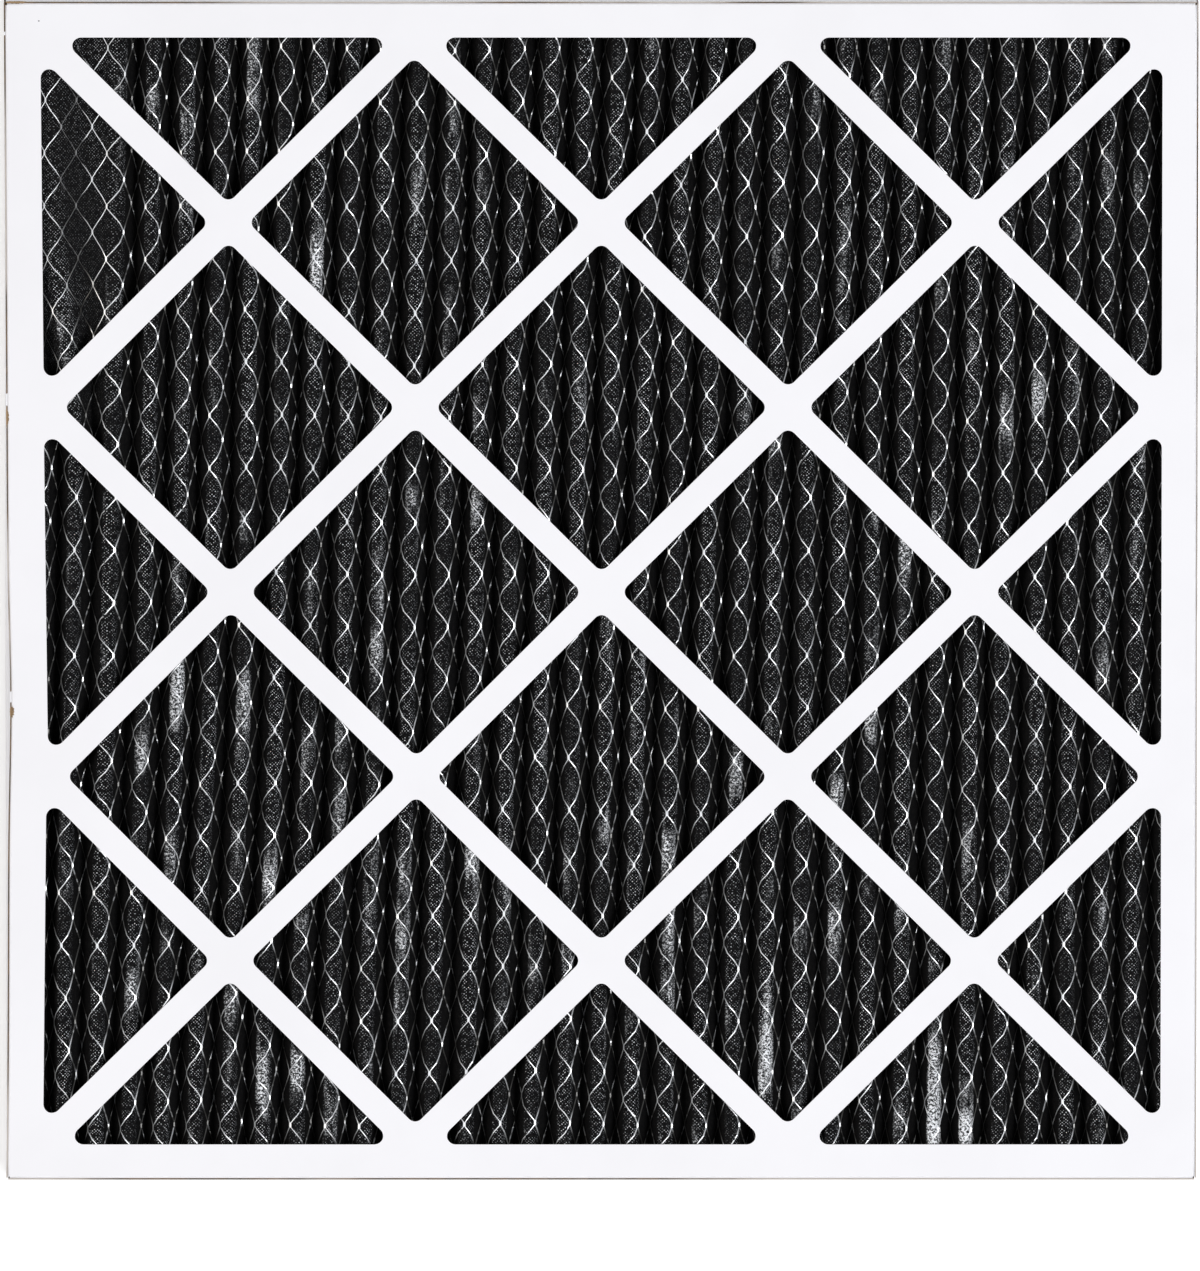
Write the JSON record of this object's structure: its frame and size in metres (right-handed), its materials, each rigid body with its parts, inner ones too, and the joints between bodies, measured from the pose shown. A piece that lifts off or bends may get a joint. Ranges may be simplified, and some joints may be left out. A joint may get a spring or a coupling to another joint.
{
  "type": "pleated panel air filter",
  "caption": "Square pleated panel air filter: white die-cut board trays with diamond openings clamp a dark pleated pack backed by expanded metal.",
  "frame": {"origin": "centre of the rear board face, which the panel lies on", "axes": "+Z out of the front face with the net (air leaves this way), +Y along the pleats, +X across the pleats"},
  "size_m": [0.597, 0.597, 0.019],
  "materials": {
    "white_board": "smooth clay-coated board, satin",
    "dark_media": "near-black point-bonded nonwoven, matte",
    "net_steel": "bright galvanised expanded metal",
    "hot_melt": "pale amber hot-melt glue"
  },
  "bodies": {
    "root": {"front_frame": "white_board", "rear_frame": "white_board", "pleated_media": "dark_media", "wire_backing": "net_steel", "glue_bead_top": "hot_melt", "glue_bead_bottom": "hot_melt", "glue_bead_left": "hot_melt", "glue_bead_right": "hot_melt"}
  },
  "joints": []
}
